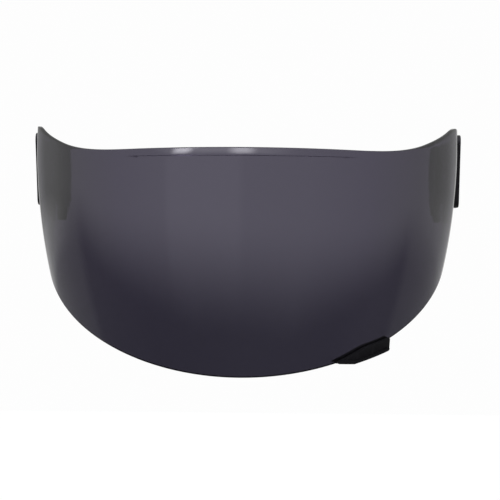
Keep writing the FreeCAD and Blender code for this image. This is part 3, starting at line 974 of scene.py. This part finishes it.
class SharedEffects:
    """Node groups that more than one finish uses, each made once."""

    GRAIN_SCALE = 1600.0
    FINER = 2.3
    FINE_SHARE = 0.6
    GRAIN_DETAIL = 3.0
    WEAR_SCALE = 220.0
    WEAR_DETAIL = 4.0
    WORN_SPAN = (0.38, 0.66)
    SMEAR_SCALE = 14.0
    SMEAR_DETAIL = 3.0
    SMEAR_ROUGHNESS = 0.6
    SMEAR_SHARE = 0.65
    WIPE_SCALE = 60.0
    WIPE_SHARE = 0.35
    WIPE_STRETCH = (1.0, 1.0, 4.0)
    MARK_SPAN = (0.35, 0.65)

    def __init__(self) -> None:
        """Makes the groups."""
        self.grain = self.make_grain()
        self.wear = self.make_wear()
        self.handling = self.make_handling()

    @staticmethod
    def new_group(name: str, output: str, **inputs: float) -> tuple[Graph, dict[str, Socket], Socket]:
        """Starts a group with one output.

        Args:
            name: the group's name.
            output: its output's name.
            inputs: its inputs, with their values.

        Returns:
            The group's graph, the sockets that give its inputs, and the one that takes its output.
        """
        tree = bpy.data.node_groups.new(name, "ShaderNodeTree")
        graph = Graph(tree)
        for label, value in inputs.items():
            socket = tree.interface.new_socket(name=label, in_out="INPUT", socket_type="NodeSocketFloat")
            socket.default_value = value
        tree.interface.new_socket(name=output, in_out="OUTPUT", socket_type="NodeSocketFloat")
        given = graph.add("NodeGroupInput").outputs
        return graph, {socket.name: socket for socket in given}, graph.add("NodeGroupOutput").inputs[output]

    def make_grain(self) -> Tree:
        """Fine spark-eroded grain of a moulded face, as a height.

        Returns:
            The group.
        """
        graph, given, height = self.new_group("moulded_grain", "Height", Scale=self.GRAIN_SCALE)
        place = graph.place()
        inputs = {"Vector": place, "Scale": given["Scale"]}
        cells = graph.add("ShaderNodeTexVoronoi", inputs, feature="SMOOTH_F1").outputs["Distance"]
        fine = graph.noise(place, graph.times(given["Scale"], self.FINER), self.GRAIN_DETAIL)
        graph.feed(height, graph.plus(graph.times(fine, self.FINE_SHARE), cells))
        return graph.tree

    def make_wear(self) -> Tree:
        """Where broken edges are rubbed: a mask that is broken up by noise.

        Returns:
            The group.
        """
        graph, given, mask = self.new_group("edge_wear", "Mask", Amount=1.0, Scale=self.WEAR_SCALE)
        edge = graph.add("ShaderNodeAttribute", attribute_name=BROKEN_EDGE).outputs["Fac"]
        patches = graph.noise(graph.place(), given["Scale"], self.WEAR_DETAIL)
        worn = graph.times(edge, graph.remap(patches, *self.WORN_SPAN))
        graph.feed(mask, graph.times(worn, given["Amount"]))
        return graph.tree

    def make_handling(self) -> Tree:
        """Faint smears and specks that hands and wiping leave on a face.

        Returns:
            The group.
        """
        graph, given, mask = self.new_group("handling_marks", "Mask", Scale=1.0)
        place = graph.place()
        scale = graph.times(given["Scale"], self.SMEAR_SCALE)
        smears = graph.noise(place, scale, self.SMEAR_DETAIL, self.SMEAR_ROUGHNESS)
        scale = graph.times(given["Scale"], self.WIPE_SCALE)
        wiped = graph.noise(graph.stretched(place, self.WIPE_STRETCH), scale)
        both = graph.plus(graph.times(smears, self.SMEAR_SHARE), graph.times(wiped, self.WIPE_SHARE))
        graph.feed(mask, graph.remap(both, *self.MARK_SPAN))
        return graph.tree


def new_material(name: str) -> tuple[Material, Graph]:
    """Starts a material, which gets its shader later.

    Args:
        name: its name.

    Returns:
        The material and its graph.
    """
    material = bpy.data.materials.new(name)
    material.use_nodes = True
    return material, Graph(material.node_tree)


@dataclass(frozen=True)
class SmokedPolycarbonate:
    """Hard-coated smoked shell: dark, clear and glossy, its colour a little darker towards the chin as
    painted shade for the dark floor it reflects there.
    """

    # painted shade: the lower colour, darker than the upper, stands in for the dark floor reflected in the
    # lower shield
    upper: Colour = (0.030, 0.026, 0.042, 1.0)
    lower: Colour = (0.024, 0.022, 0.034, 1.0)
    low_height: float = -110.0
    high_height: float = 0.0
    refraction: float = 1.62
    smooth_roughness: float = 0.012
    marked_roughness: float = 0.05
    mark_scale: float = 1.0
    wave_depth: float = 0.06
    wave_strength: float = 1.0
    wave_scale: float = 45.0
    wave_stretch: Triple = (1.0, 1.0, 0.06)

    def material(self, effects: SharedEffects) -> Material:
        """Makes the material.

        Args:
            effects: the groups that finishes share.

        Returns:
            The material.
        """
        material, graph = new_material("smoked_polycarbonate")
        place = graph.place()
        # painted shade: the base colour fades by height from the upper colour to the darker lower colour
        # towards the chin
        height = graph.remap(graph.split(place)[2], self.low_height * MM, self.high_height * MM, smooth=True)
        marks = graph.group(effects.handling, Scale=self.mark_scale)
        waves = graph.noise(graph.stretched(place, self.wave_stretch), self.wave_scale)
        graph.shader({
            "Base Color": graph.mix(height, self.lower, self.upper),
            "Roughness": graph.remap(marks, 0.0, 1.0, self.smooth_roughness, self.marked_roughness),
            "Metallic": 0.0,
            "IOR": self.refraction,
            "Transmission Weight": 1.0,
            "Normal": graph.bump(waves, self.wave_depth, self.wave_strength),
        })
        return material


@dataclass(frozen=True)
class MouldedBlack:
    """Black nylon or similar, as moulded: fine grain, worn a little paler at its edges."""

    name: str = "moulded_black"
    colour: Colour = (0.012, 0.012, 0.013, 1.0)
    worn: Colour = (0.06, 0.06, 0.062, 1.0)
    refraction: float = 1.5
    gloss: float = 0.4
    roughness: float = 0.42
    rough_spread: float = 0.07
    grain_scale: float = 1500.0
    grain_depth: float = 0.03
    grain_strength: float = 0.35
    wear: float = 0.6
    wear_scale: float = 260.0
    mark_scale: float = 2.5

    def material(self, effects: SharedEffects) -> Material:
        """Makes the material.

        Args:
            effects: the groups that finishes share.

        Returns:
            The material.
        """
        material, graph = new_material(self.name)
        wear = graph.group(effects.wear, Amount=self.wear, Scale=self.wear_scale)
        marks = graph.group(effects.handling, Scale=self.mark_scale)
        grain = graph.group(effects.grain, Scale=self.grain_scale)
        spread = self.rough_spread / 2
        graph.shader({
            "Base Color": graph.mix(wear, self.colour, self.worn),
            "Roughness": graph.remap(marks, 0.0, 1.0, self.roughness - spread, self.roughness + spread),
            "IOR": self.refraction,
            "Specular IOR Level": self.gloss,
            "Normal": graph.bump(grain, self.grain_depth, self.grain_strength),
        })
        return material


@dataclass(frozen=True)
class BrightSteel:
    """Plated or drawn steel with fine drawing marks along one axis."""

    name: str = "bright_steel"
    colour: Colour = (0.56, 0.55, 0.53, 1.0)
    stained: Colour = (0.47, 0.46, 0.44, 1.0)
    mark_scale: float = 6.0
    least_rough: float = 0.18
    most_rough: float = 0.34
    line_scale: float = 900.0
    line_stretch: Triple = (1.0, 1.0, 12.0)
    line_span: Pair = (0.3, 0.7)
    line_depth: float = 0.01
    line_strength: float = 0.3

    def material(self, effects: SharedEffects) -> Material:
        """Makes the material.

        Args:
            effects: the groups that finishes share.

        Returns:
            The material.
        """
        material, graph = new_material(self.name)
        lines = graph.noise(graph.stretched(graph.place(), self.line_stretch), self.line_scale)
        marks = graph.group(effects.handling, Scale=self.mark_scale)
        graph.shader({
            "Base Color": graph.mix(marks, self.colour, self.stained),
            "Roughness": graph.remap(lines, *self.line_span, self.least_rough, self.most_rough),
            "Metallic": 1.0,
            "Normal": graph.bump(lines, self.line_depth, self.line_strength),
        })
        return material


# Studio


@dataclass(frozen=True)
class Softbox:
    """One large soft lamp that points at the part, with sizes and places in metres."""

    name: str
    place: Triple
    size: Pair
    watts: float
    colour: Triple = (0.95, 0.93, 1.0)
    soft: float = 0.4
    aim: Triple = (0.0, -0.09, -0.04)

    def build(self) -> Object:
        """Makes the lamp, which fades towards its own edges.

        Returns:
            The lamp.
        """
        light = bpy.data.lights.new(self.name, "AREA")
        light.shape = "RECTANGLE"
        light.size, light.size_y = self.size
        light.energy = self.watts
        light.color = self.colour
        light.use_nodes = True
        graph = Graph(light.node_tree)
        across = graph.split(graph.add("ShaderNodeNewGeometry").outputs["Parametric"])
        level = 1.0
        for place in across[:2]:
            level = graph.times(level, graph.remap(place, 0.0, self.soft, smooth=True))
            level = graph.times(level, graph.remap(place, 1.0 - self.soft, 1.0, 1.0, 0.0, smooth=True))
        glow = graph.add("ShaderNodeEmission", {"Strength": level})
        graph.add("ShaderNodeOutputLight", {"Surface": glow.outputs[0]})
        lamp = linked_object(self.name, light)
        lamp.location = self.place
        lamp.rotation_mode = "QUATERNION"
        lamp.rotation_quaternion = (Vector(self.aim) - Vector(self.place)).to_track_quat("-Z", "Y")
        return lamp


@dataclass(frozen=True)
class PhotoCamera:
    """The photograph's view: nearly level, a long way off, with a slight turn and roll."""

    distance: float = 1148.0
    height: float = -46.5
    turn: float = 1.7
    roll: float = 0.435
    focal_px: float = 1898.0
    centre_px: float = 248.1
    frame_px: float = 500.0
    sensor: float = 36.0
    clip_start: float = 0.05
    clip_end: float = 50.0

    def build(self) -> Object:
        """Makes the camera and sets it as the scene's.

        Returns:
            The camera.
        """
        data = bpy.data.cameras.new("photo_camera")
        data.sensor_width = self.sensor
        data.lens = self.sensor * self.focal_px / self.frame_px
        data.shift_x = 0.5 - self.centre_px / self.frame_px
        data.clip_start = self.clip_start
        data.clip_end = self.clip_end
        turned = Matrix.Rotation(math.radians(self.turn), 4, "Z") @ Matrix.Rotation(math.pi / 2, 4, "X")
        place = Matrix.Translation(Vector((0.0, self.height, self.distance)) * MM)
        camera = linked_object("photo_camera", data)
        camera.matrix_world = turned @ place @ Matrix.Rotation(math.radians(self.roll), 4, "Z")
        bpy.context.scene.camera = camera
        return camera


@dataclass(frozen=True)
class MirroredRoom:
    """What glossy faces see: panels in front, dimmer sides, a dark floor, white straight behind.

    Bearings are in degrees from the front, positive at the viewer's right. Heights are the upward
    part of the ray's unit vector. Levels are light strengths.
    """

    tint: Colour = (1.0, 0.96, 1.15, 1.0)
    plain: Colour = (1.0, 1.0, 1.0, 1.0)
    tint_span: Pair = (70.0, 110.0)
    right_span: Pair = (-40.0, 40.0)
    upper_levels: Levels = (
        (0.0, 1.16), (35.0, 1.13), (58.0, 1.00), (85.0, 0.78), (108.0, 0.57), (123.0, 0.53), (140.0, 0.34),
        (162.0, 0.27),
    )
    upper_right_span: Pair = (125.0, 150.0)
    upper_right_gain: Pair = (-0.06, 0.05)
    lower_levels: Levels = ((0.0, 0.07), (60.0, 0.05), (100.0, 0.11), (107.0, 0.24), (160.0, 0.28))
    lower_right_span: Pair = (85.0, 110.0)
    lower_right_gain: Pair = (0.03, -0.04)
    panel: Pair = (-40.0, -4.0)
    panel_soft: Pair = (4.0, 5.0)
    panel_gain: float = 0.13
    horizon_levels: Levels = ((30.0, -0.215), (65.0, -0.165), (85.0, -0.115), (100.0, -0.055))
    right_horizon_drop: float = 0.045
    blur_span: Pair = (30.0, 100.0)
    blur: Pair = (0.22, 0.09)
    rear_span: Pair = (162.0, 174.0)
    rear_levels: Levels = ((-0.4, 0.0), (-0.15, 0.52), (0.1, 0.68), (0.4, 0.0))
    glow_span: Pair = (110.0, 135.0)
    glow_levels: Levels = ((-0.115, 0.0), (-0.085, 0.17), (-0.055, 0.21), (-0.04, 0.20), (0.0, 0.0))
    glow_right: float = 0.35
    ceiling: float = 1.05
    ceiling_span: Pair = (0.7, 0.95)

    def walls(self, graph: Graph, bearing: Socket, turned: Socket, right: Socket) -> tuple[Socket, Socket]:
        """The levels above and below the horizon.

        Args:
            graph: the world's graph.
            bearing: the ray's bearing.
            turned: the bearing without its sign.
            right: 0 at the left to 1 at the right.

        Returns:
            Both levels.
        """
        start, end = self.panel
        soft_start, soft_end = self.panel_soft
        panel = graph.times(graph.remap(bearing, start - soft_start, start, smooth=True),
                            graph.remap(bearing, end, end + soft_end, 1.0, 0.0, smooth=True))
        upper = graph.plus(graph.levels(turned, self.upper_levels), graph.times(panel, self.panel_gain))
        gain = graph.remap(turned, *self.upper_right_span, *self.upper_right_gain)
        upper = graph.plus(upper, graph.times(right, gain))
        gain = graph.remap(turned, *self.lower_right_span, *self.lower_right_gain)
        lower = graph.plus(graph.levels(turned, self.lower_levels), graph.times(right, gain))
        return upper, lower

    def sides(self, graph: Graph, height: Socket, turned: Socket, right: Socket) -> Socket:
        """What the rear wall and the low glow beside it add.

        Args:
            graph: the world's graph.
            height: the ray's height.
            turned: the bearing without its sign.
            right: 0 at the left to 1 at the right.

        Returns:
            The added level.
        """
        rear = graph.times(graph.remap(turned, *self.rear_span), graph.levels(height, self.rear_levels))
        glow = graph.times(graph.levels(height, self.glow_levels), graph.remap(turned, *self.glow_span))
        return graph.plus(rear, graph.times(glow, graph.remap(right, 0.0, 1.0, 1.0, self.glow_right)))

    def build(self, graph: Graph) -> Socket:
        """Makes the room.

        Args:
            graph: the world's graph.

        Returns:
            The colour that a glossy ray finds, times its level.
        """
        x, y, height = graph.split(graph.add("ShaderNodeTexCoord").outputs["Generated"])
        bearing = graph.math("DEGREES", graph.math("ARCTAN2", x, graph.times(y, -1.0)))
        turned = graph.math("ABSOLUTE", bearing)
        right = graph.remap(bearing, *self.right_span, smooth=True)
        upper, lower = self.walls(graph, bearing, turned, right)
        horizon = graph.levels(turned, self.horizon_levels)
        horizon = graph.minus(horizon, graph.times(right, self.right_horizon_drop))
        half = graph.remap(turned, *self.blur_span, *self.blur)
        rise = graph.remap(height, graph.minus(horizon, half), graph.plus(horizon, half), smooth=True)
        level = graph.plus(lower, graph.times(rise, graph.minus(upper, lower)))
        level = graph.plus(level, self.sides(graph, height, turned, right))
        above = graph.remap(height, *self.ceiling_span, smooth=True)
        level = graph.plus(level, graph.times(above, graph.minus(self.ceiling, level)))
        return graph.scaled(graph.mix(graph.remap(turned, *self.tint_span), self.tint, self.plain), level)


def ray_kinds(graph: Graph) -> tuple[Socket, Socket]:
    """Which kind of ray arrives.

    Args:
        graph: the graph of a material or world.

    Returns:
        1 for a ray from the camera, straight or through glass, and 1 for a glossy ray.
    """
    path = graph.add("ShaderNodeLightPath").outputs
    return graph.math("MAXIMUM", path["Is Camera Ray"], path["Is Transmission Ray"]), path["Is Glossy Ray"]


@dataclass
class Studio:
    """A white sweep behind the part, a mirrored room for its gloss, and soft lamps."""

    floor_centre: Triple = (0.0, 1.39, -0.42)
    floor_size: Triple = (2.2, 1.81, 1.0)
    floor_paint: Colour = (0.55, 0.55, 0.55, 1.0)
    floor_glow: float = 0.66
    white: Colour = (0.985, 0.985, 0.985, 1.0)
    plain: Colour = (1.0, 1.0, 1.0, 1.0)
    matt_level: float = 0.62
    room: MirroredRoom = MirroredRoom()
    lamps: tuple[Softbox, ...] = (
        Softbox("overhead_softbox", (-0.30, -1.25, 1.10), (2.60, 0.75), 6.0),
        Softbox("key_softbox", (-0.62, -0.91, 0.87), (0.31, 0.65), 3.6),
        Softbox("middle_softbox", (-0.02, -1.10, 0.88), (0.38, 0.65), 2.9),
    )

    def floor(self) -> Object:
        """Makes the pale floor, which keeps the part's shadow.

        Returns:
            The floor.
        """
        bm = bmesh.new()
        bmesh.ops.create_grid(bm, x_segments=1, y_segments=1, size=1.0)
        bmesh.ops.scale(bm, vec=Vector(self.floor_size), verts=bm.verts)
        bmesh.ops.translate(bm, vec=Vector(self.floor_centre), verts=bm.verts)
        floor = object_from(bm, "studio_floor")
        material, graph = new_material("studio_white")
        paint = graph.add("ShaderNodeBsdfDiffuse", {"Color": self.floor_paint})
        seen, _ = ray_kinds(graph)
        level = graph.times(seen, self.floor_glow)
        glow = graph.add("ShaderNodeEmission", {"Color": self.plain, "Strength": level})
        both = graph.add("ShaderNodeAddShader", {0: paint.outputs[0], 1: glow.outputs[0]})
        graph.add("ShaderNodeOutputMaterial", {"Surface": both.outputs[0]})
        floor.data.materials.append(material)
        floor.visible_glossy = False
        return floor

    def world(self) -> None:
        """White for the camera and through glass, the mirrored room for gloss, one level for matt faces."""
        world = bpy.data.worlds.new("studio")
        world.use_nodes = True
        bpy.context.scene.world = world
        graph = Graph(world.node_tree)

        def light(colour: object, strength: float = 1.0) -> Socket:
            """An even light."""
            return graph.add("ShaderNodeBackground", {"Color": colour, "Strength": strength}).outputs[0]

        def choose(share: Socket, first: Socket, second: Socket) -> Socket:
            """The first light where the share is 0, and the second where it is 1."""
            return graph.add("ShaderNodeMixShader", {0: share, 1: first, 2: second}).outputs[0]

        seen, glossy = ray_kinds(graph)
        mirrored = choose(glossy, light(self.plain, self.matt_level), light(self.room.build(graph)))
        graph.add("ShaderNodeOutputWorld", {"Surface": choose(seen, mirrored, light(self.white))})

    def build(self) -> None:
        """Makes the floor, the world, the lamps and the camera."""
        self.floor()
        self.world()
        for lamp in self.lamps:
            lamp.build()
        PhotoCamera().build()
        bpy.context.scene.view_settings.view_transform = "Standard"


# The part


@dataclass
class Visor:
    """The whole part: the shield, the lift tab and the pivot kit of each ear."""

    effects: SharedEffects = field(default_factory=SharedEffects)

    def dress(self, piece: Object, material: Material) -> None:
        """Gives a piece one material and reports it.

        Args:
            piece: the object.
            material: the material.
        """
        piece.data.materials.clear()
        piece.data.materials.append(material)
        LOG.info("%s: %s, %d faces", piece.name, material.name, len(piece.data.polygons))

    def build(self) -> None:
        """Builds and dresses every piece."""
        smoked = SmokedPolycarbonate().material(self.effects)
        black = MouldedBlack().material(self.effects)
        grip = MouldedBlack(
            name="grip_black", colour=(0.004, 0.004, 0.0045, 1.0), worn=(0.02, 0.02, 0.021, 1.0), gloss=0.22,
            roughness=0.55, grain_scale=1100.0, grain_strength=0.5,
        ).material(self.effects)
        acetal = MouldedBlack(
            name="grey_acetal", colour=(0.09, 0.09, 0.095, 1.0), worn=(0.16, 0.16, 0.165, 1.0),
            roughness=0.34, grain_depth=0.01, grain_strength=0.2, wear=0.4,
        ).material(self.effects)
        steel = BrightSteel().material(self.effects)

        self.dress(ShieldLens().build(), smoked)
        tab = RoundedCopy("lift_tab", "visor", "black_plastic", width=0.35, segments=3, weld=SAME_POINT)
        self.dress(tab.build(), grip)
        self.dress(frame["nodes"]["lift_tab_screws"], steel)
        for side in Side:
            start = side.prefix
            self.dress(frame["nodes"][start + "pivot_cover"], black)
            plate = RoundedCopy(start + "base_plate", "mounting", "black_plastic", width=0.25)
            self.dress(plate.build(), black)
            ratchet = RoundedCopy(start + "ratchet_plate", "visor", "acetal", width=0.15,
                                  mirror_of=None if side is Side.LEFT else "left_ratchet_plate")
            self.dress(ratchet.build(), acetal)
            slider = RoundedCopy(start + "release_slider", start + "release", "black_plastic")
            self.dress(slider.build(), grip)
            self.dress(frame["nodes"][start + "friction_washer"], acetal)
            self.dress(ReleaseSpring(side).build(), steel)
            for name in ("pivot_screws", "detent_spring"):
                self.dress(frame["nodes"][start + name], steel)


def main() -> None:
    """Builds the part and its studio."""
    logging.basicConfig(level=logging.INFO, format="%(name)s: %(message)s")
    Visor().build()
    Studio().build()


if __name__ == "__main__":
    main()
